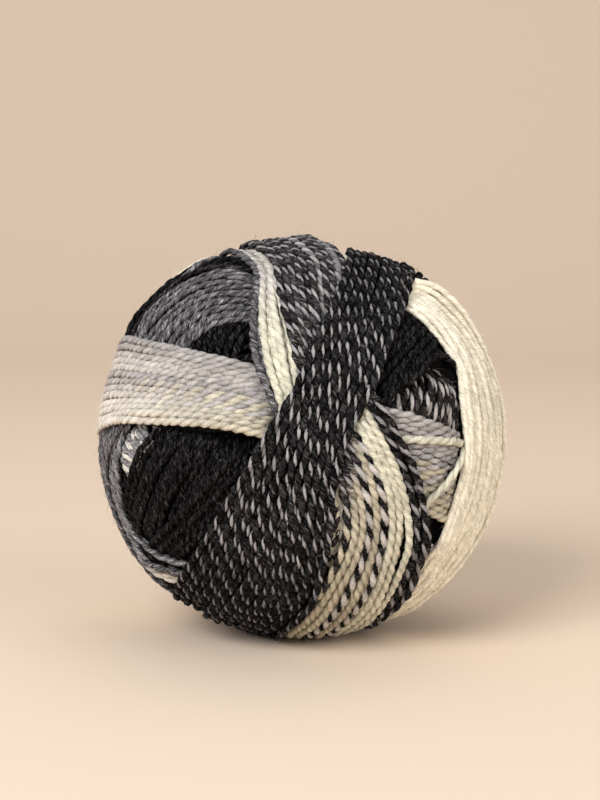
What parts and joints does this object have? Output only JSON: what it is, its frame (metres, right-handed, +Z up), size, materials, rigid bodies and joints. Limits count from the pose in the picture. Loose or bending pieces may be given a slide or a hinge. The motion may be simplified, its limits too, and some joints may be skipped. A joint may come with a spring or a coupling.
{
  "type": "ball of yarn",
  "caption": "Hand-wound round ball of two-ply yarn in black, grey, cream and ivory, with crossing wraps of parallel turns and a small flat spot to rest on.",
  "frame": {"origin": "middle of the ball's bounding box, on the flat spot that it rests on", "axes": "+Z up, away from the flat spot; -Y towards the side where the wraps cross"},
  "size_m": [0.0952, 0.0982, 0.0949],
  "materials": {
    "yarn": "matt spun wool with a short halo of fibres"
  },
  "bodies": {
    "root": {"yarn_ball": "yarn"}
  },
  "joints": []
}
